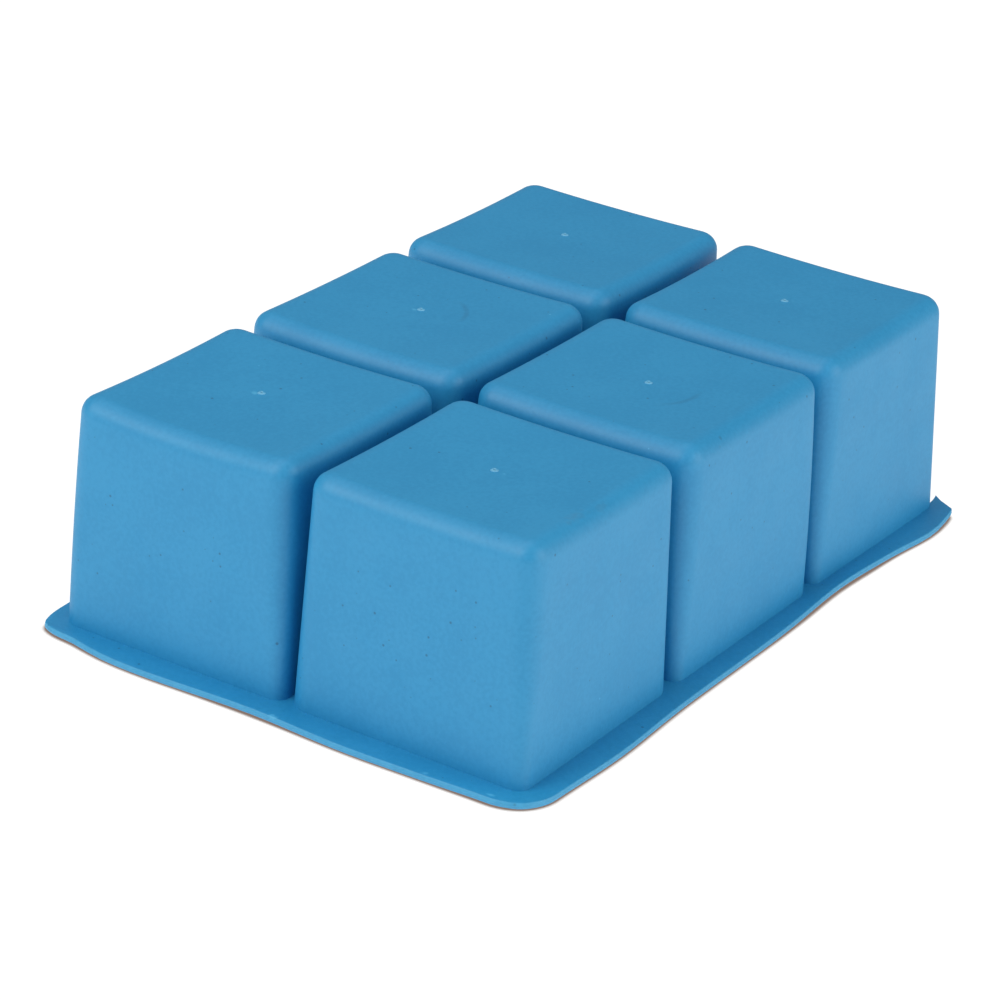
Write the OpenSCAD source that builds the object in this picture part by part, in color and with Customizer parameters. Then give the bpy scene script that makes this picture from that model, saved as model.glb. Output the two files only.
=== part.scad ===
// Silicone soap mould with six square cups on one flange, lying with its mouths down.
// It is a single moulding. Each node is one zone of it, divided where the silicone bends:
// three flange panels, two bending strips, six cup walls and six floors that are pushed in.
// The origin is under the middle of the flange. X runs along the three rows of cups,
// Y across the two cups of a row, and Z up from the mouths to the cup floors.

/* [Layout] */
// Distance between cup centres along the mould
cup_pitch_x = 55.7; // [55.7:0.1:62]
// Distance between cup centres across the mould
cup_pitch_y = 55; // [55:0.1:62]
// Flange left beyond the end cups
rim_end = 5.6; // [4:0.1:10]
// Flange left beyond the side cups
rim_side = 4.8; // [4:0.1:10]

/* [Cup] */
// Width of the soap at the mouth, two inches
mouth_w = 50.8; // [49:0.1:50.8]
// Height from the underside of the flange to the top of a cup
mould_h = 50.3; // [40:0.1:60]
// Thickness of the cup walls and floors
wall_t = 1.6; // [1.2:0.1:1.6]
// How far each outer wall leans in between the flange and the floor
draft = 1.4; // [0.5:0.1:2]
// Outer radius of the upright corners at the top, and of the rolled top edge
top_r = 3.8; // [3:0.1:5]

/* [Floor] */
// Depth of the hollow in the middle of a cup floor
floor_dish = 1.2; // [0:0.1:2]
// Gap between a floor and the rolled edge round it
floor_gap = 0.2; // [0.1:0.05:0.4]
// Corner radius of the floor's outline
floor_corner_r = 3; // [2:0.5:5]
// Radius of the moulding gate's mark on a floor
gate_r = 1.2; // [0.8:0.1:2]

/* [Flange] */
// Thickness of the flange
flange_t = 1.4; // [1:0.1:2]
// Corner radius of the flange
flange_corner_r = 9.5; // [6:0.5:12]
// Width of the strips between the rows, where the mould bends
web_w = 1.6; // [1:0.1:1.6]

/* [Hidden] */
$fn = 64;
silicone_blue = [0.07, 0.45, 0.70];
web_blue = [0.04, 0.36, 0.60];
floor_blue = [0.12, 0.50, 0.74];

// Overshoot of the cutting shapes
over = 1;
// The gate's mark: how high its ring stands, and the hole in its middle
gate_h = 0.25;
gate_hole_r = 0.5;
gate_hole_depth = 0.5;
// Number of steps in a floor's hollow
dish_steps = 10;

// Corner radii of the outer wall and of the cavity, at the mouth
outer_low_r = top_r + draft;
inner_low_r = outer_low_r - wall_t;
inner_top_r = top_r - wall_t;
// Distance from a cup's axis to the centres of its four corners
corner_at = mouth_w / 2 - inner_low_r;
// Height at which the rolled top edge starts
roll_z = mould_h - top_r;

cup_base_half = corner_at + outer_low_r;
tray_l = 2 * (cup_pitch_x + cup_base_half + rim_end);
tray_w = cup_pitch_y + 2 * (cup_base_half + rim_side);
// Half-length of the middle panel, and where the end panels start
panel_x = (cup_pitch_x - web_w) / 2;
end_panel_x = (cup_pitch_x + web_w) / 2;
floor_half = corner_at - floor_gap;
// Distance from a floor's middle to its corners, where the hollow ends
floor_reach = (floor_half - floor_corner_r) * sqrt(2) + floor_corner_r;

// Square outline with round corners, centred on the origin
module rounded_square(half, r) {
    square([2 * half, 2 * (half - r)], center = true);
    square([2 * (half - r), 2 * half], center = true);
    for (x = [-1, 1], y = [-1, 1])
        translate([x * (half - r), y * (half - r)]) circle(r);
}

// One pair of opposite leaning sides, between the corner centres
module leaning_slab(r_low, r_high, z_low, z_high) {
    rotate([90, 0, 0])
        linear_extrude(2 * corner_at, center = true)
            polygon([
                [-corner_at - r_low, z_low],
                [corner_at + r_low, z_low],
                [corner_at + r_high, z_high],
                [-corner_at - r_high, z_high]
            ]);
}

// Square block whose sides lean in, with a cone at each corner and a rolled top edge.
// Its top edge has the radius r_high, as its corners have there.
module cup_block(r_low, r_high, z_low) {
    leaning_slab(r_low, r_high, z_low, roll_z);
    rotate([0, 0, 90]) leaning_slab(r_low, r_high, z_low, roll_z);
    for (x = [-1, 1], y = [-1, 1])
        translate([x * corner_at, y * corner_at, z_low])
            cylinder(h = roll_z - z_low, r1 = r_low, r2 = r_high);
    for (x = [-1, 1], y = [-1, 1])
        translate([x * corner_at, y * corner_at, roll_z]) sphere(r_high);
    for (side = [-1, 1]) {
        translate([side * corner_at, 0, roll_z])
            rotate([90, 0, 0]) cylinder(h = 2 * corner_at, r = r_high, center = true);
        translate([0, side * corner_at, roll_z])
            rotate([0, 90, 0]) cylinder(h = 2 * corner_at, r = r_high, center = true);
    }
    translate([-corner_at, -corner_at, roll_z])
        cube([2 * corner_at, 2 * corner_at, r_high]);
}

// Walls of one cup, from the flange up to the rolled edge, open where the floor goes
module cup_wall() {
    color(silicone_blue)
    difference() {
        cup_block(outer_low_r, top_r, flange_t);
        cup_block(inner_low_r, inner_top_r, 0);
        translate([0, 0, roll_z])
            linear_extrude(top_r + over)
                rounded_square(corner_at, floor_corner_r + floor_gap);
    }
}

// Height of a floor's upper side at a distance from its middle
function dish_z(r) = mould_h - floor_dish * (1 - pow(r / floor_reach, 2));

// Floor of one cup: a dished square plate with the mark of the moulding gate in its middle
module push_floor() {
    radii = [for (i = [0 : dish_steps]) (floor_reach + over) * i / dish_steps];
    upper = [for (r = radii) [r, dish_z(r)]];
    lower = [for (i = [dish_steps : -1 : 0]) [radii[i], dish_z(radii[i]) - wall_t]];
    gate_z = dish_z(0);
    color(floor_blue)
    difference() {
        union() {
            intersection() {
                rotate_extrude() polygon(concat(upper, lower));
                translate([0, 0, roll_z - over])
                    linear_extrude(top_r + 2 * over)
                        rounded_square(floor_half, floor_corner_r);
            }
            translate([0, 0, gate_z - wall_t / 2])
                cylinder(h = wall_t / 2 + gate_h, r = gate_r);
        }
        translate([0, 0, gate_z + gate_h - gate_hole_depth])
            cylinder(h = gate_hole_depth + over, r = gate_hole_r);
    }
}

// Outline of the whole flange
module flange_outline() {
    square([tray_l, tray_w - 2 * flange_corner_r], center = true);
    square([tray_l - 2 * flange_corner_r, tray_w], center = true);
    for (x = [-1, 1], y = [-1, 1])
        translate([
            x * (tray_l / 2 - flange_corner_r),
            y * (tray_w / 2 - flange_corner_r)
        ])
            circle(flange_corner_r);
}

// Flange round the two mouths of the row at cup_x, from x_from to x_to
module flange_panel(cup_x, x_from, x_to) {
    color(silicone_blue)
    linear_extrude(flange_t)
        difference() {
            intersection() {
                flange_outline();
                translate([x_from, -tray_w / 2]) square([x_to - x_from, tray_w]);
            }
            for (side = [-1, 1])
                translate([cup_x, side * cup_pitch_y / 2])
                    rounded_square(mouth_w / 2, inner_low_r);
        }
}

// Strip of flange between two rows, the living hinge of the mould
module hinge_web() {
    color(web_blue)
    translate([-web_w / 2, -tray_w / 2, 0]) cube([web_w, tray_w, flange_t]);
}

// Moves a cup's piece to its place: row is -1, 0 or 1 along X, and column -1 or 1 along Y
module at_cup(row, column) {
    translate([row * cup_pitch_x, column * cup_pitch_y / 2, 0]) children();
}

flange_panel(-cup_pitch_x, -tray_l / 2, -end_panel_x);  // flange_left
flange_panel(0, -panel_x, panel_x);  // flange_middle
flange_panel(cup_pitch_x, end_panel_x, tray_l / 2);  // flange_right

translate([-cup_pitch_x / 2, 0, 0]) hinge_web();  // hinge_web_left
translate([cup_pitch_x / 2, 0, 0]) hinge_web();  // hinge_web_right

at_cup(-1, -1) cup_wall();  // cup_wall_left_front
at_cup(-1, 1) cup_wall();  // cup_wall_left_back
at_cup(0, -1) cup_wall();  // cup_wall_middle_front
at_cup(0, 1) cup_wall();  // cup_wall_middle_back
at_cup(1, -1) cup_wall();  // cup_wall_right_front
at_cup(1, 1) cup_wall();  // cup_wall_right_back

at_cup(-1, -1) push_floor();  // push_floor_left_front
at_cup(-1, 1) push_floor();  // push_floor_left_back
at_cup(0, -1) push_floor();  // push_floor_middle_front
at_cup(0, 1) push_floor();  // push_floor_middle_back
at_cup(1, -1) push_floor();  // push_floor_right_front
at_cup(1, 1) push_floor();  // push_floor_right_back
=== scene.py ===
import math

import bmesh
import bpy
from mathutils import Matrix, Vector
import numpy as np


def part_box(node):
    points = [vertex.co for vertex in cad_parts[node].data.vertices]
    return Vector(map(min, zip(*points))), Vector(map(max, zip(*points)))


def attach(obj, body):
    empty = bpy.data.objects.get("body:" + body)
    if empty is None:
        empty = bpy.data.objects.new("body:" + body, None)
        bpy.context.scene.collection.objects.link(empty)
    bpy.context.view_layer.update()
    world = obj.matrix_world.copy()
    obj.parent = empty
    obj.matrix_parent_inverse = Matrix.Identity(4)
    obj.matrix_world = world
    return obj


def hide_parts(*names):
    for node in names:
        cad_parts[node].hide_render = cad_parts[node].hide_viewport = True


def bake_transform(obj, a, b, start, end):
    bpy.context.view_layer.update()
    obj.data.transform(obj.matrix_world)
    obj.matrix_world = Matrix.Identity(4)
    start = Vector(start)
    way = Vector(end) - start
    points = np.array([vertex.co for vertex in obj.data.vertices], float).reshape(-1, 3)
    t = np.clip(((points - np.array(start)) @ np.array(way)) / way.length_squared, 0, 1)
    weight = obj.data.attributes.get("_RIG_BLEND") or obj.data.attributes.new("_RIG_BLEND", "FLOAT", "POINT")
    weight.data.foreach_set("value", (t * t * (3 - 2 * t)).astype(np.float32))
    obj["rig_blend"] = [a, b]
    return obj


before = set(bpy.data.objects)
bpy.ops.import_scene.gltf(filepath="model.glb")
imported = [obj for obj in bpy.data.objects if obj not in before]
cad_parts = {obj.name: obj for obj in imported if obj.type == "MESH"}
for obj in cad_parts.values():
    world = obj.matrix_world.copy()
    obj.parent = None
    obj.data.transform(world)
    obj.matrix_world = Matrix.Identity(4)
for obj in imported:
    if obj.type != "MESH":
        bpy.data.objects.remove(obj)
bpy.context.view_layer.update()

# ---------------------------------------------------------------------------------------------
# Blue silicone
# The whole mould is one shot of blue platinum-cure silicone, moulded against blasted steel, so
# it is matte, a little waxy and faintly translucent, with a few dark specks from the press.
mm = 0.001


class Number:
    """A number that changes over the surface. Sums and products of numbers add their nodes."""

    def __init__(self, finish, socket):
        self.finish = finish
        self.socket = socket

    def math(self, operation, *values):
        settings = {"operation": operation}
        return self.finish.node("ShaderNodeMath", settings, values)["Value"]

    def __add__(self, other):
        return self.math("ADD", self, other)

    def __sub__(self, other):
        return self.math("SUBTRACT", self, other)

    def __mul__(self, other):
        return self.math("MULTIPLY", self, other)

    def __gt__(self, other):
        return self.math("GREATER_THAN", self, other)

    def __abs__(self):
        return self.math("ABSOLUTE", self)

    __radd__ = __add__
    __rmul__ = __mul__

    def fade(self, start, end):
        """0 before start and 1 past end, with a smooth step between. end may be the lower."""
        settings = {"interpolation_type": "SMOOTHSTEP"}
        sockets = {"Value": self, "From Min": start, "From Max": end}
        return self.finish.node("ShaderNodeMapRange", settings, sockets)["Result"]


class Finish:
    """One material. node() adds a node with its settings, then its values and links."""

    def __init__(self, name):
        self.material = bpy.data.materials.new(name)
        self.material.use_nodes = True
        self.tree = self.material.node_tree
        self.tree.nodes.clear()

    def node(self, kind, settings=None, sockets=None):
        added = self.tree.nodes.new(kind)
        for name, value in (settings or {}).items():
            setattr(added, name, value)
        if not isinstance(sockets, dict):
            sockets = dict(enumerate(sockets or ()))
        for name, value in sockets.items():
            if isinstance(value, Number):
                self.tree.links.new(value.socket, added.inputs[name])
            else:
                added.inputs[name].default_value = value
        return {out.name: Number(self, out) for out in added.outputs if out.enabled}

    def vector(self, operation, *values):
        """Adds one step of vector arithmetic and returns what it gives."""
        result = "Value" if operation == "LENGTH" else "Vector"
        return self.node("ShaderNodeVectorMath", {"operation": operation}, values)[result]

    def mix(self, factor, under, over):
        """A colour between two others. A factor of 1 gives all of the one on top."""
        sockets = {0: factor, 6: under, 7: over}
        return self.node("ShaderNodeMix", {"data_type": "RGBA"}, sockets)["Result"]


blue = (0.016, 0.290, 0.598, 1)
deep_blue = (0.010, 0.264, 0.560, 1)
soot = (0.003, 0.080, 0.200, 1)
pale = (0.080, 0.460, 0.780, 1)
grubby = (0.070, 0.180, 0.300, 1)
rusty = (0.220, 0.150, 0.250, 1)
silicone_ior = 1.43
bump_height = 0.05 * mm


def moulded_place(finish):
    """Where a point lay when the piece was moulded. It stays with the silicone as it bends."""
    return finish.node("ShaderNodeAttribute", {"attribute_name": "moulded_place"})["Vector"]


def keep_moulded_place(piece, origin=(0, 0, 0)):
    """Stores each point's place, measured from the origin, for the finish to read."""
    attribute = piece.data.attributes.new("moulded_place", "FLOAT_VECTOR", "POINT")
    for vertex, stored in zip(piece.data.vertices, attribute.data):
        stored.vector = vertex.co - Vector(origin)


def silicone(name, stains=(), flow_marks=(), pale_edge_and_highlight=None):
    """The blue silicone with the stains and flow marks of one piece, given in mm.
    A stain is its colour, strength, middle and half sizes. A flow mark is its gate, its
    radius and the middle of the arc. pale_edge_and_highlight gives a mask of the cut edge, which
    is paler, partly where the knife whitens it and partly as a painted highlight along the edge."""
    finish = Finish(name)
    place = moulded_place(finish)

    def cloud(size, detail=2.0):
        sockets = {"Vector": place, "Scale": 1 / size, "Detail": detail}
        return finish.node("ShaderNodeTexNoise", None, sockets)["Fac"]

    def distance(centre, sizes=(1, 1, 1)):
        """The distance from a place, in sizes that may differ along X, Y and Z."""
        offset = finish.vector("SUBTRACT", place, [c * mm for c in centre])
        scaled = finish.vector("DIVIDE", offset, [size * mm for size in sizes])
        return finish.vector("LENGTH", scaled)

    def specks(spacing, radius, share):
        """Round specks of up to that radius, in that share of cells of that size."""
        smallest = 0.35
        sockets = {"Vector": place, "Scale": 1 / spacing}
        cells = finish.node("ShaderNodeTexVoronoi", None, sockets)
        chance = finish.node("ShaderNodeSeparateColor", None, {"Color": cells["Color"]})
        reach = (smallest + (1 - smallest) * chance["Green"]) * (radius / spacing)
        near = (reach - cells["Distance"]).fade(0, 0.5 * radius / spacing)
        return near * (chance["Red"] > 1 - share)

    grain = cloud(0.5 * mm, 1.0)
    ripple = cloud(9 * mm)
    ragged = cloud(1.2 * mm, 3.0)
    mottle = 0.4 * cloud(14 * mm) + 0.6 * cloud(0.9 * mm)
    colour = finish.mix(mottle.fade(0.35, 0.65), blue, deep_blue)
    dark_specks = specks(spacing=2.4 * mm, radius=0.38 * mm, share=0.26)
    colour = finish.mix(dark_specks * 0.65, colour, soot)
    pale_specks = specks(spacing=6.0 * mm, radius=0.28 * mm, share=0.45)
    colour = finish.mix(pale_specks * 0.7, colour, pale)
    for shade, strength, middle, half_sizes in stains:
        reach = distance(middle, half_sizes) + 1.6 * (ragged - 0.5)
        colour = finish.mix(reach.fade(1.1, 0.3) * strength, colour, shade)
    arc_reach = (7, 7, 7)
    arc_strength = 0.20
    for gate, radius, middle in flow_marks:
        off_arc = abs(distance(gate) - radius)
        seen = distance(middle, arc_reach).fade(1, 0.3)
        colour = finish.mix(off_arc.fade(0.9, 0.1) * seen * arc_strength, colour, soot)
    # The cut edge is paler: partly the knife's whitening, partly a painted highlight on the edge band
    if pale_edge_and_highlight:
        knife_pale_and_highlight = 0.15 + 0.5 * ragged
        colour = finish.mix(pale_edge_and_highlight(finish, place) * knife_pale_and_highlight, colour, pale)

    roughness = 0.46 + 0.12 * ripple
    height = grain + 1.5 * ripple
    sockets = {"Strength": 0.35, "Distance": bump_height, "Height": height}
    bump = finish.node("ShaderNodeBump", None, sockets)["Normal"]
    sockets = {
        "Base Color": colour,
        "Roughness": roughness,
        "Normal": bump,
        "IOR": silicone_ior,
        "Specular IOR Level": 0.85,
    }
    shader = finish.node("ShaderNodeBsdfPrincipled", None, sockets)["BSDF"]
    finish.node("ShaderNodeOutputMaterial", None, {"Surface": shader})
    return finish.material


# ---------------------------------------------------------------------------------------------
# Cups
# Each cup is a hollow box with leaning walls and an even 1.6 mm skin, open at the flange. The
# floors and walls shrink a little in the oven: corners stay high while edges and middles sink,
# by another amount on every cup, and a few uprights lean or bulge.
rows = ["left", "middle", "right"]
columns = ["front", "back"]
cup_names = [f"{row}_{column}" for row in rows for column in columns]

wall_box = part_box("cup_wall_middle_front")
flange_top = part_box("flange_middle")[1][2]
cup_top = wall_box[1][2]
foot_half = (wall_box[1][0] - wall_box[0][0]) / 2
floor_half = foot_half - 1.5 * mm
skin = 1.6 * mm
upright_r = 4.6 * mm
foot_sharpness = 0.6
roll_r = 3.8 * mm
lip_r = 0.4 * mm
rim_z = 0.05 * mm
grid = 2.5 * mm
round_steps = 8
tiny = 1e-6


def cup_centre(name):
    wall_low, wall_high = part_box(f"cup_wall_{name}")
    return (wall_low[0] + wall_high[0]) / 2, (wall_low[1] + wall_high[1]) / 2


def copy_of(original, name):
    """A copy of an object with a mesh of its own, linked to the scene."""
    copied = original.copy()
    copied.data = original.data.copy()
    copied.name = name
    bpy.context.collection.objects.link(copied)
    return copied


def open_in_edit_mode(piece):
    bpy.ops.object.select_all(action="DESELECT")
    piece.select_set(True)
    bpy.context.view_layer.objects.active = piece
    bpy.ops.object.mode_set(mode="EDIT")
    bpy.ops.mesh.select_all(action="DESELECT")


def pick(piece, kind, wanted):
    """Selects the faces or edges of a piece in edit mode for which wanted(...) is true.
    It is given a face's middle and normal, or an edge's two ends."""
    bpy.ops.mesh.select_mode(type=kind)
    bpy.ops.mesh.select_all(action="DESELECT")
    shape = bmesh.from_edit_mesh(piece.data)
    if kind == "FACE":
        for face in shape.faces:
            face.select_set(wanted(face.calc_center_median(), face.normal))
    else:
        for edge in shape.edges:
            edge.select_set(wanted(edge.verts[0].co, edge.verts[1].co))
    bmesh.update_edit_mesh(piece.data)


def cut_across(axis, places):
    """Cuts the whole mesh in edit mode square to an axis at each of the places."""
    normal = [0, 0, 0]
    normal[axis] = 1
    for place in places:
        bpy.ops.mesh.select_all(action="SELECT")
        point = [0, 0, 0]
        point[axis] = place
        bpy.ops.mesh.bisect(plane_co=point, plane_no=normal)


def steps(low, high, pitch):
    """Evenly spaced places between low and high, both left out, about a pitch apart."""
    count = max(1, round((high - low) / pitch))
    return [low + (high - low) * i / count for i in range(1, count)]


def smooth(value):
    value = max(0, min(1, value))
    return value * value * (3 - 2 * value)


def plain_cup():
    """One cup at the origin with straight sides and a flat floor, mouth down."""
    bpy.ops.object.select_all(action="DESELECT")
    bpy.ops.mesh.primitive_cube_add(size=1, location=(0, 0, cup_top / 2))
    cup = bpy.context.object
    cup.scale = (2 * foot_half, 2 * foot_half, cup_top)
    bpy.ops.object.transform_apply(location=True, rotation=True, scale=True)
    open_in_edit_mode(cup)
    pick(cup, "FACE", lambda middle, normal: normal.z > 0.9)
    lean = floor_half / foot_half
    bpy.ops.transform.resize(value=(lean, lean, 1), center_override=(0, 0, cup_top))
    pick(cup, "FACE", lambda middle, normal: normal.z < -0.9)
    bpy.ops.mesh.delete(type="FACE")
    pick(cup, "EDGE", lambda a, b: abs(a.z - b.z) > cup_top / 2)
    bpy.ops.mesh.bevel(offset=upright_r, segments=round_steps, affect="EDGES")
    pick(cup, "EDGE", lambda a, b: min(a.z, b.z) > cup_top - tiny)
    bpy.ops.mesh.bevel(offset=roll_r, segments=round_steps, affect="EDGES")
    flat_half = foot_half - 5.5 * mm
    for axis in (0, 1):
        cut_across(axis, [-flat_half, *steps(-flat_half, flat_half, grid), flat_half])
    flat_top = cup_top - roll_r - 0.5 * mm
    cut_across(2, [flange_top, *steps(flange_top, flat_top, grid)])
    bpy.ops.mesh.select_all(action="SELECT")
    bpy.ops.mesh.normals_make_consistent(inside=False)
    bpy.ops.object.mode_set(mode="OBJECT")
    # The upright towards the front left is sharper towards its foot than the other three
    sharp_top = 0.8 * cup_top
    for vertex in cup.data.vertices:
        x, y, z = vertex.co
        if x > 0 or y > 0:
            continue
        half = foot_half + (floor_half - foot_half) * z / cup_top
        from_corner = half - min(abs(x), abs(y))
        share = smooth((3 * upright_r - from_corner) / (2 * upright_r))
        pull = share * (1 - foot_sharpness) * (1 - smooth(z / sharp_top))
        vertex.co.x += (-half - x) * pull
        vertex.co.y += (-half - y) * pull
    wall = cup.modifiers.new("skin", "SOLIDIFY")
    wall.thickness = skin
    wall.offset = -1
    wall.use_even_offset = True
    bpy.ops.object.modifier_apply(modifier=wall.name)
    for vertex in cup.data.vertices:
        vertex.co.z = max(vertex.co.z, rim_z)
    inner_half = foot_half - 0.7 * skin
    open_in_edit_mode(cup)
    pick(
        cup, "EDGE",
        lambda a, b: max(a.z, b.z) < rim_z + tiny
        and all(max(abs(end.x), abs(end.y)) < inner_half for end in (a, b)),
    )
    bpy.ops.mesh.bevel(offset=lip_r, segments=3, affect="EDGES")
    bpy.ops.object.mode_set(mode="OBJECT")
    bpy.ops.object.shade_smooth_by_angle(angle=math.radians(40))
    return cup


# Heights in mm of the floor's four corners, four edge middles and middle below the top of the
# box, as seen from above: the back edge first, each line from -X to +X.
floor_heights = {
    "left_front": [(0.1, 0.6, 0.2), (0.6, 1.2, 0.6), (0.0, 0.5, 0.1)],
    "left_back": [(0.1, 0.8, 0.2), (1.4, 1.5, 0.7), (0.0, 0.6, 0.1)],
    "middle_front": [(0.1, 0.5, 0.2), (0.6, 1.1, 0.6), (0.0, 0.5, 0.1)],
    "middle_back": [(0.1, 0.5, 0.2), (0.8, 1.2, 0.6), (0.0, 0.6, 0.1)],
    "right_front": [(0.1, 0.8, 0.2), (0.6, 1.2, 0.6), (0.0, 0.5, 0.1)],
    "right_back": [(0.1, 0.7, 0.2), (0.6, 1.1, 0.6), (0.0, 0.6, 0.1)],
}

# Uprights that don't stand true: their corner, and how far out in mm their foot, middle and
# top are.
uprights = {
    "left_back": ((-1, 1), (0.0, 0.25, 0.0)),
    "middle_front": ((1, -1), (0.1, 0.5, 0.0)),
    "right_front": ((1, -1), (0.8, 0.2, -0.45)),
}


def through_three(low, middle, high, at):
    """The parabola through three values at -1, 0 and 1."""
    return middle + at * (high - low) / 2 + at * at * ((high + low) / 2 - middle)


def floor_sink(name, x, y):
    """How far a cup's floor lies below the top of its box at a place, in metres."""
    across = max(-1, min(1, x / floor_half))
    along = max(-1, min(1, y / floor_half))
    back, middle, front = [through_three(*line, across) for line in floor_heights[name]]
    return through_three(front, middle, back, along) * mm


def upright_shift(name, x, y, z):
    """How far a place on a cup is moved by an upright that leans or bulges, in metres."""
    if name not in uprights:
        return 0, 0
    (side_x, side_y), outs = uprights[name]
    near = smooth((side_x * x / foot_half + 1) / 2) * smooth((side_y * y / foot_half + 1) / 2)
    out = through_three(*outs, 2 * z / cup_top - 1) * mm * near * math.sqrt(0.5)
    return side_x * out, side_y * out


# The rubbed and stained places of each cup, and the faint arcs where the silicone flowed in,
# in the form that silicone() takes
cup_stains = {
    "left_front": [
        (grubby, 0.22, (-64, -50, 49), (5, 1.4, 1.4)),
        (grubby, 0.16, (-56, -51, 49), (2.5, 1.0, 1.0)),
        (rusty, 0.50, (-83, -18.5, 47.4), (1, 1.0, 0.35)),
        (pale, 0.35, (-83, -12, 49), (1.5, 1.3, 1.3)),
        (pale, 0.45, (-55.4, -29.4, 49), (0.45, 0.45, 0.45)),
    ],
    "left_back": [
        (pale, 0.60, (-55.2, 28.8, 49), (0.9, 0.9, 0.9)),
        (pale, 0.30, (-48.5, 28, 27), (1.2, 1.0, 1.6)),
    ],
    "middle_front": [
        (grubby, 0.40, (-4, -54.2, 48), (4, 0.9, 0.9)),
        (grubby, 0.30, (-15, -53.6, 48), (5, 0.9, 0.9)),
        (soot, 0.45, (-13.5, -52, 49), (0.6, 0.6, 0.6)),
    ],
    "middle_back": [
        (pale, 0.50, (0.3, 29.2, 49), (0.7, 0.7, 0.7)),
    ],
    "right_front": [(pale, 0.35, (57.5, -28.2, 49), (0.4, 0.4, 0.4))],
    "right_back": [(pale, 0.30, (58.2, 27.6, 49), (0.4, 0.4, 0.4))],
}
cup_flow_marks = {
    "middle_back": [((1, 28, 49), 9.4, (6, 20.5, 49))],
    "middle_front": [((-0.5, -27.5, 49), 11, (-3.5, -38.5, 49))],
}

# The walls follow the sagging floor down to sink_depth. A thumb pushes in all of the floor
# within thumb_r of its middle, and less and less out to pressed_r.
sink_depth = 16 * mm
pressed_r = 21 * mm
thumb_r = 7 * mm
plain = plain_cup()
for name in cup_names:
    centre_x, centre_y = cup_centre(name)
    cup = copy_of(plain, f"cup_{name}")
    for vertex in cup.data.vertices:
        x, y, z = vertex.co
        share = smooth((z - (cup_top - sink_depth)) / (sink_depth - roll_r))
        vertex.co.z -= floor_sink(name, x, y) * share
        shift_x, shift_y = upright_shift(name, x, y, z)
        vertex.co.x += centre_x + shift_x
        vertex.co.y += centre_y + shift_y
    keep_moulded_place(cup)
    flow_marks = cup_flow_marks.get(name, ())
    cup_silicone = silicone(f"blue_silicone_{name}", cup_stains[name], flow_marks)
    cup.data.materials.append(cup_silicone)
    row = f"{name.split('_')[0]}_row"
    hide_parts(f"cup_wall_{name}", f"push_floor_{name}")
    low_point = (centre_x, centre_y, cup_top / 2)
    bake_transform(cup, row, f"floor_{name}", start=low_point, end=(centre_x, centre_y, cup_top))
    for vertex, share in zip(cup.data.vertices, cup.data.attributes["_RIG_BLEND"].data):
        spot = Vector((vertex.co.x - centre_x, vertex.co.y - centre_y))
        pressed = 1 - smooth((spot.length - thumb_r) / (pressed_r - thumb_r))
        share.value = pressed if vertex.co.z > cup_top / 2 else 0
bpy.data.objects.remove(plain)

# ---------------------------------------------------------------------------------------------
# Gate marks
# The silicone goes in through the middle of each cup's floor. Where the stub was torn off it
# leaves a small pale ring, a little proud, round a dimple.
gate_r = 0.80 * mm
gate_rise = 0.12 * mm
gate_root = 0.25 * mm
gate_lip = 0.2 * mm
gate_dimple_r = 0.28 * mm
whitened_silicone = (0.19, 0.52, 0.78, 1)

# How far in mm each mark lies from the middle of its cup along X and Y
gate_offsets = {
    "left_front": (0.4, 0.4),
    "left_back": (1.2, 0.2),
    "middle_front": (-0.4, -0.2),
    "middle_back": (1.1, 0.6),
    "right_front": (0.8, 0.7),
    "right_back": (1.7, 1.1),
}


def torn_silicone():
    """Stress has turned the ring white. The dimple in its middle is painted dark: painted shade in its
    hollow.
    """
    finish = Finish("torn_silicone")
    place = moulded_place(finish)
    reach = finish.vector("LENGTH", finish.vector("MULTIPLY", place, (1, 1, 0)))
    sockets = {"Vector": place, "Scale": 1 / (0.4 * mm)}
    shreds = finish.node("ShaderNodeTexNoise", None, sockets)["Fac"]
    # Painted shade: the dimple's hollow is darkened towards soot
    dark = reach.fade(gate_dimple_r, 0.5 * gate_dimple_r)
    unmarked = 0.15 + 0.85 * shreds.fade(0.50, 0.75)
    colour = finish.mix(unmarked, whitened_silicone, blue)
    colour = finish.mix(dark, colour, soot)
    sockets = {"Strength": 0.5, "Distance": bump_height, "Height": shreds}
    bump = finish.node("ShaderNodeBump", None, sockets)["Normal"]
    sockets = {"Base Color": colour, "Normal": bump, "Roughness": 0.6, "IOR": silicone_ior}
    shader = finish.node("ShaderNodeBsdfPrincipled", None, sockets)["BSDF"]
    finish.node("ShaderNodeOutputMaterial", None, {"Surface": shader})
    return finish.material


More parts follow.
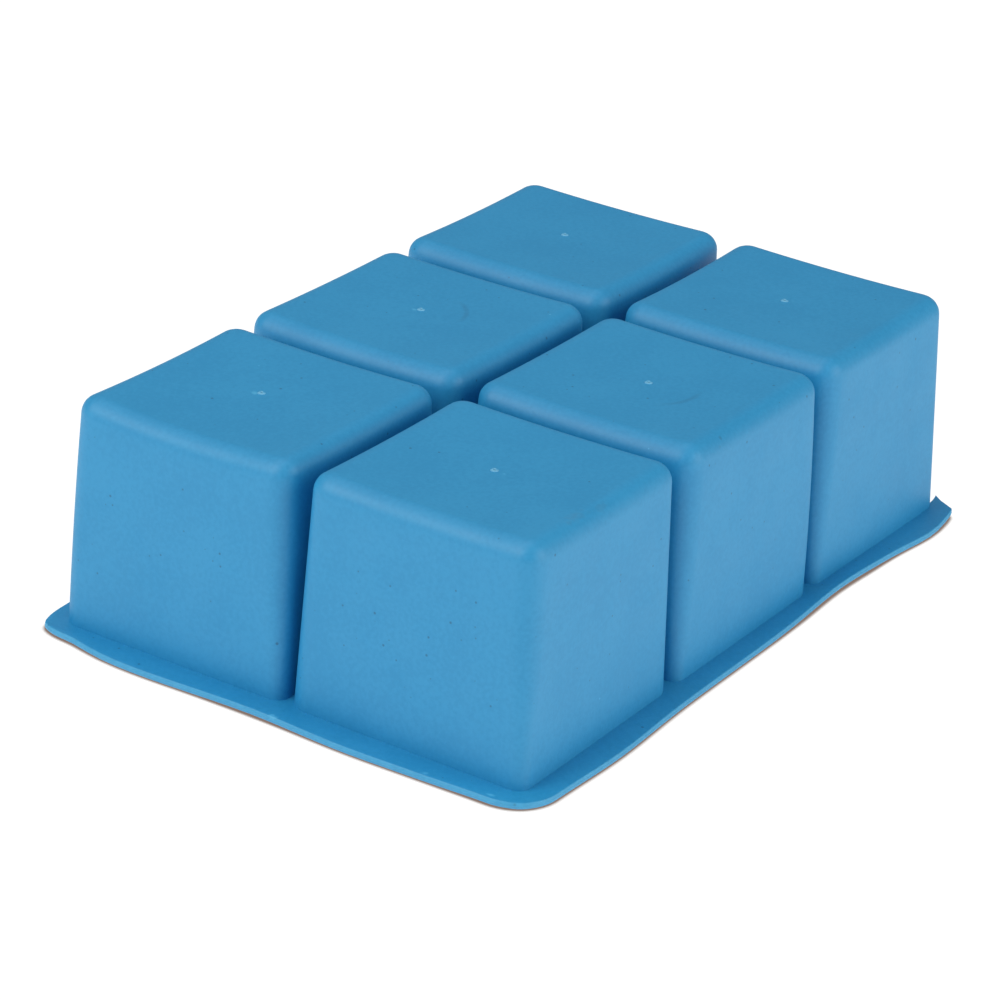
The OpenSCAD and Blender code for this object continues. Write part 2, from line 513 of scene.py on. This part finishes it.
def plain_gate_mark():
    """The torn ring at the origin, its root below zero."""
    bpy.ops.object.select_all(action="DESELECT")
    bpy.ops.mesh.primitive_cylinder_add(
        vertices=24, radius=gate_r, depth=gate_root + gate_rise,
        location=(0, 0, (gate_rise - gate_root) / 2),
    )
    mark = bpy.context.object
    bpy.ops.object.transform_apply(location=True, rotation=True, scale=True)
    open_in_edit_mode(mark)
    pick(mark, "FACE", lambda middle, normal: normal.z > 0.9)
    bpy.ops.mesh.inset(thickness=gate_lip)
    bpy.ops.transform.translate(value=(0, 0, 0.02 * mm))
    bpy.ops.mesh.inset(thickness=gate_r - gate_lip - gate_dimple_r)
    bpy.ops.mesh.inset(thickness=0.1 * mm)
    bpy.ops.transform.translate(value=(0, 0, -gate_rise))
    pick(
        mark, "EDGE",
        lambda a, b: min(a.z, b.z) > gate_rise - tiny and a.xy.length > 0.95 * gate_r,
    )
    bpy.ops.mesh.bevel(offset=0.09 * mm, segments=3, affect="EDGES")
    bpy.ops.object.mode_set(mode="OBJECT")
    for vertex in mark.data.vertices:
        turn = math.atan2(vertex.co.y, vertex.co.x)
        ragged = 1 + 0.06 * math.sin(3 * turn) + 0.04 * math.sin(7 * turn + 1)
        vertex.co.x *= ragged
        vertex.co.y *= ragged
        if vertex.co.z > gate_rise / 2:
            vertex.co.z += 0.03 * mm * math.sin(2 * turn + 0.5)
    bpy.ops.object.shade_smooth_by_angle(angle=math.radians(50))
    return mark


plain_mark = plain_gate_mark()
torn = torn_silicone()
for name, (offset_x, offset_y) in gate_offsets.items():
    centre_x, centre_y = cup_centre(name)
    offset_x, offset_y = offset_x * mm, offset_y * mm
    place = Vector((
        centre_x + offset_x,
        centre_y + offset_y,
        cup_top - floor_sink(name, offset_x, offset_y),
    ))
    mark = copy_of(plain_mark, f"gate_mark_{name}")
    for vertex in mark.data.vertices:
        vertex.co += place
    keep_moulded_place(mark, place)
    mark.data.materials.append(torn)
    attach(mark, f"floor_{name}")
bpy.data.objects.remove(plain_mark)

# ---------------------------------------------------------------------------------------------
# Flange
# One sheet with a mouth under every cup. It is moulded with the cups and trimmed by hand along
# its parting line, so its edge wanders and lifts a little. It bends on the two strips between
# the rows, which are pieces of their own.
flange_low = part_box("flange_left")[0]
flange_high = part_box("flange_right")[1]
flange_corner = 9.5 * mm


def whole_flange():
    bpy.ops.object.select_all(action="DESELECT")
    bpy.ops.mesh.primitive_cube_add(size=1, location=(0, 0, flange_top / 2))
    flange = bpy.context.object
    flange.scale = (
        flange_high[0] - flange_low[0],
        flange_high[1] - flange_low[1],
        flange_top,
    )
    bpy.ops.object.transform_apply(location=True, rotation=True, scale=True)
    open_in_edit_mode(flange)
    pick(flange, "EDGE", lambda a, b: abs(a.z - b.z) > flange_top / 2)
    bpy.ops.mesh.bevel(offset=flange_corner, segments=14, affect="EDGES")
    bpy.ops.object.mode_set(mode="OBJECT")
    return flange


def mouth_cutter(x, y):
    bpy.ops.object.select_all(action="DESELECT")
    bpy.ops.mesh.primitive_cube_add(size=1, location=(x, y, 0))
    cutter = bpy.context.object
    side = 2 * (foot_half - 0.1 * mm)
    cutter.scale = (side, side, 6 * flange_top)
    bpy.ops.object.transform_apply(location=True, rotation=True, scale=True)
    open_in_edit_mode(cutter)
    pick(cutter, "EDGE", lambda a, b: abs(a.z - b.z) > flange_top)
    bpy.ops.mesh.bevel(offset=upright_r, segments=round_steps, affect="EDGES")
    bpy.ops.object.mode_set(mode="OBJECT")
    return cutter


def cut_out(piece, cutter):
    """Takes the cutter's shape away from a piece, and the cutter with it."""
    cut = piece.modifiers.new("cut", "BOOLEAN")
    cut.object = cutter
    cut.operation = "DIFFERENCE"
    bpy.context.view_layer.objects.active = piece
    bpy.ops.object.modifier_apply(modifier=cut.name)
    bpy.data.objects.remove(cutter)


flange = whole_flange()
for name in cup_names:
    cut_out(flange, mouth_cutter(*cup_centre(name)))

# The rim: both edges rounded, with the parting line as a fine ridge between them
ridge = 0.10 * mm
ridge_rise = 0.08 * mm
flange_grid = 4 * mm
open_in_edit_mode(flange)
cut_across(2, [flange_top / 2 - ridge, flange_top / 2, flange_top / 2 + ridge])
cut_across(0, steps(flange_low[0], flange_high[0], flange_grid))
cut_across(1, steps(flange_low[1], flange_high[1], flange_grid))
bpy.ops.object.mode_set(mode="OBJECT")


def beyond_cups(x, y):
    """True for places on the flange's outer edge, not on the edge of a mouth."""
    corner_x = flange_high[0] - flange_corner
    corner_y = flange_high[1] - flange_corner
    past_x, past_y = max(0, abs(x) - corner_x), max(0, abs(y) - corner_y)
    return math.hypot(past_x, past_y) > flange_corner - 0.05 * mm


for vertex in flange.data.vertices:
    x, y, z = vertex.co
    if beyond_cups(x, y) and abs(z - flange_top / 2) < ridge / 2:
        outward = Vector((
            x - max(-flange_high[0] + flange_corner, min(flange_high[0] - flange_corner, x)),
            y - max(-flange_high[1] + flange_corner, min(flange_high[1] - flange_corner, y)),
        )).normalized()
        vertex.co.x += outward.x * ridge_rise
        vertex.co.y += outward.y * ridge_rise
open_in_edit_mode(flange)
pick(
    flange, "EDGE",
    lambda a, b: beyond_cups(a.x, a.y) and beyond_cups(b.x, b.y)
    and abs(a.z - b.z) < tiny
    and abs(abs(a.z - flange_top / 2) - flange_top / 2) < tiny,
)
bpy.ops.mesh.bevel(offset=0.3 * mm, segments=3, affect="EDGES")
bpy.ops.object.mode_set(mode="OBJECT")

keep_moulded_place(flange)

# Places along the edge, how far a wave reaches round each, and how far it moves the edge
# there along X, Y and Z, all in mm
edge_waves = [
    ((-79, 59), 5, (0.6, -2.0, 0.7)),
    ((-88, 50), 5, (1.5, 0, 0.2)),
    ((-88, 31), 8, (-0.6, 0, 0)),
    ((-88, 4), 8, (0.1, 0, 0.3)),
    ((-88, -19), 8, (-0.5, 0, 0)),
    ((-88, -50), 7, (0.4, 0, 0.2)),
    ((-57, -59), 12, (0, -1.0, 0)),
    ((32, -59), 12, (0, 0.5, 0.9)),
    ((70, -59), 8, (0, -1.7, 0)),
    ((83, -58), 6, (0, 0, 0.8)),
]
cups_end = Vector((
    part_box("cup_wall_right_front")[1][0],
    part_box("cup_wall_right_back")[1][1],
))
for vertex in flange.data.vertices:
    x, y = vertex.co.xy
    past_x, past_y = max(0, abs(x) - cups_end.x), max(0, abs(y) - cups_end.y)
    loose = smooth(max(
        past_x / (flange_high[0] - cups_end.x),
        past_y / (flange_high[1] - cups_end.y),
    ))
    if loose == 0:
        continue
    for place, reach, move in edge_waves:
        away = (Vector((x, y)) - Vector(place) * mm).length / (reach * mm)
        vertex.co += Vector(move) * mm * loose * math.exp(-0.5 * away * away)

# One corner was cut straight by the trimming knife, and torn out beside the cut
cut_start, cut_end = Vector((81.1, -59.2, 0)) * mm, Vector((85.5, -53.6, 0)) * mm
tear_half, tear_middle = (9.5 * mm, 4.2 * mm), (80.5 * mm, -49.8 * mm)
cut_normal = (cut_end - cut_start).cross(Vector((0, 0, 1))).normalized()
open_in_edit_mode(flange)
bpy.ops.mesh.select_all(action="SELECT")
bpy.ops.mesh.bisect(plane_co=cut_end, plane_no=cut_normal, clear_outer=True, use_fill=True)
bpy.ops.object.mode_set(mode="OBJECT")
bpy.ops.object.select_all(action="DESELECT")
bpy.ops.mesh.primitive_cylinder_add(
    vertices=40, radius=1, depth=6 * flange_top, location=(*tear_middle, 0),
)
bpy.context.object.scale = (*tear_half, 1)
bpy.ops.object.transform_apply(location=True, rotation=True, scale=True)
cut_out(flange, bpy.context.object)

flange_stains = [
    (pale, 0.8, (-87.8, -1.7, 1.2), (0.8, 1.2, 0.6)),
    (pale, 0.6, (-87.5, -36.2, 1.2), (0.6, 1.0, 0.5)),
    (pale, 0.7, (-87.0, -50.1, 1.2), (0.7, 1.2, 0.5)),
    (pale, 0.7, (-83.8, -58.6, 1.2), (1.0, 0.7, 0.5)),
]


def edge_reach(finish, place):
    """How far a place lies beyond the middles of the flange's round corners."""
    corner = (flange_high[0] - flange_corner, flange_high[1] - flange_corner, 1)
    sides = finish.vector("ABSOLUTE", finish.vector("MULTIPLY", place, (1, 1, 0)))
    past = finish.vector("MAXIMUM", finish.vector("SUBTRACT", sides, corner), (0, 0, 0))
    return finish.vector("LENGTH", past)


def cut_edge_and_highlight_mask(finish, place):
    """The mask of the outermost edge of the flange. It is made paler, partly where the knife has
    left it pale and partly as a painted highlight along the edge band.
    """
    return edge_reach(finish, place).fade(flange_corner - 0.2 * mm, flange_corner - 0.05 * mm)


flange_silicone = silicone("blue_silicone_flange", flange_stains, pale_edge_and_highlight=cut_edge_and_highlight_mask)
web_box = {side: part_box(f"hinge_web_{side}") for side in ("left", "right")}
cuts = [
    flange_low[0] - 10 * mm,
    web_box["left"][0][0], web_box["left"][1][0],
    web_box["right"][0][0], web_box["right"][1][0],
    flange_high[0] + 10 * mm,
]
zones = ["flange_left", "hinge_web_left", "flange_middle", "hinge_web_right", "flange_right"]
for zone, low_x, high_x in zip(zones, cuts[:-1], cuts[1:]):
    piece = copy_of(flange, f"{zone}_silicone")
    open_in_edit_mode(piece)
    for place, clear in ((low_x, "clear_inner"), (high_x, "clear_outer")):
        bpy.ops.mesh.select_all(action="SELECT")
        bpy.ops.mesh.bisect(
            plane_co=(place, 0, 0), plane_no=(1, 0, 0), use_fill=True, **{clear: True},
        )
    if "web" in zone:
        cut_across(0, steps(low_x, high_x, (high_x - low_x) / 16))
    bpy.ops.object.mode_set(mode="OBJECT")
    bpy.ops.object.shade_smooth_by_angle(angle=math.radians(40))
    piece.data.materials.append(flange_silicone)
    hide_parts(zone)
    side = zone.split("_")[-1]
    if "web" in zone:
        inner_x = low_x if side == "right" else high_x
        outer_x = high_x if side == "right" else low_x
        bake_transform(piece, "middle_row", f"{side}_row", start=(inner_x, 0, 0), end=(outer_x, 0, 0))
    else:
        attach(piece, f"{side}_row")
bpy.data.objects.remove(flange)

# ---------------------------------------------------------------------------------------------
# Table, light and camera
# A white table and three big soft boxes in a pale room. The camera doesn't see the table, which
# lies a little below the mould and only throws light back. The ring just under the rim shows its
# contact shadow and is clear elsewhere, so neither of them hides rows that bend down past it.
white = (0.9, 0.9, 0.9, 1)
table_glow = 0.25
shadow_colour = (0.24, 0.17, 0.14, 1)
shadow_reach = 1.3 * mm
ring_width = 4 * mm


def white_table():
    finish = Finish("white_table")
    paint = finish.node("ShaderNodeBsdfDiffuse", None, {"Color": white})["BSDF"]
    light = finish.node("ShaderNodeEmission", None, {"Strength": table_glow})["Emission"]
    surface = finish.node("ShaderNodeAddShader", None, {0: paint, 1: light})["Shader"]
    finish.node("ShaderNodeOutputMaterial", None, {"Surface": surface})
    return finish.material


def contact_shadow():
    """Dark where something stands on the table or right over it, and clear elsewhere.
    It ends ring_width outside the flange's edge, and hidden under the flange inside it."""
    finish = Finish("contact_shadow")
    reach = edge_reach(finish, finish.node("ShaderNodeTexCoord")["Object"])
    near_the_edge = (
        reach.fade(flange_corner + ring_width, flange_corner + ring_width / 2)
        * reach.fade(flange_corner - 5 * mm, flange_corner - 4 * mm)
    )
    closeness = finish.node(
        "ShaderNodeAmbientOcclusion", None, {"Distance": shadow_reach},
    )["AO"].fade(0.96, 0.45)
    dark = finish.node("ShaderNodeEmission", None, {"Color": shadow_colour})["Emission"]
    clear = finish.node("ShaderNodeBsdfTransparent")["BSDF"]
    surface = finish.node(
        "ShaderNodeMixShader", None, {0: closeness * near_the_edge, 1: clear, 2: dark},
    )["Shader"]
    finish.node("ShaderNodeOutputMaterial", None, {"Surface": surface})
    return finish.material


bpy.ops.object.select_all(action="DESELECT")
bpy.ops.mesh.primitive_plane_add(size=3, location=(0, 0, -2 * shadow_reach))
table = bpy.context.object
table.name = "table"
table.data.materials.append(white_table())
table.visible_camera = False
table.visible_shadow = False
bpy.ops.object.select_all(action="DESELECT")
# A painted contact shadow: a sheet of dark emission where the rim stands close over it, clear elsewhere
bpy.ops.mesh.primitive_plane_add(size=1, location=(0, 0, 0.01 * mm))
ring = bpy.context.object
ring.name = "painted_contact_shadow"
ring.scale = (2 * (flange_high[0] + ring_width), 2 * (flange_high[1] + ring_width), 1)
bpy.ops.object.transform_apply(location=True, rotation=True, scale=True)
ring.data.materials.append(contact_shadow())
ring.visible_diffuse = False
ring.visible_glossy = False
ring.visible_shadow = False


class Room(Finish):
    """The pale room round the table, with nodes as a finish has."""

    def __init__(self, name):
        self.world = bpy.data.worlds.new(name)
        self.world.use_nodes = True
        self.tree = self.world.node_tree
        self.tree.nodes.clear()


room_light = 0.34
room_seen = 1.35
room = Room("pale_room")
lighting = room.node("ShaderNodeBackground", None, {"Strength": room_light})["Background"]
seen = room.node("ShaderNodeBackground", None, {"Strength": room_seen})["Background"]
seen_directly = room.node("ShaderNodeLightPath")["Is Camera Ray"]
sockets = {0: seen_directly, 1: lighting, 2: seen}
shown = room.node("ShaderNodeMixShader", None, sockets)["Shader"]
room.node("ShaderNodeOutputWorld", None, {"Surface": shown})
bpy.context.scene.world = room.world


soft_box_size = 0.8
mould_middle = Vector((0, 0, 0.02))


def soft_box(name, place, power, colour):
    """A square light that shines at the middle of the mould. power is in watts."""
    light = bpy.data.lights.new(name, "AREA")
    light.shape = "SQUARE"
    light.size = soft_box_size
    light.energy = power
    light.color = colour
    lamp = bpy.data.objects.new(name, light)
    bpy.context.collection.objects.link(lamp)
    lamp.location = place
    towards_mould = mould_middle - Vector(place)
    lamp.rotation_euler = towards_mould.to_track_quat("-Z", "Y").to_euler()


soft_box("right_soft_box", (0.15, -0.90, 0.38), 4.5, (1.0, 0.98, 0.88))
soft_box("left_soft_box", (-0.70, 0.30, 0.70), 6.1, (1.0, 0.99, 0.90))
soft_box("overhead_soft_box", (0.10, 0.20, 1.10), 2.4, (1.0, 0.99, 0.97))

camera = bpy.data.cameras.new("camera")
camera.lens = 135.31
camera.sensor_width = 36
viewer = bpy.data.objects.new("camera", camera)
bpy.context.collection.objects.link(viewer)
viewer.location = (-0.60003, -0.36407, 0.34170)
viewer.rotation_euler = [math.radians(a) for a in (64.955, -3.449, -56.773)]
bpy.context.scene.camera = viewer
bpy.context.scene.view_settings.view_transform = "Standard"
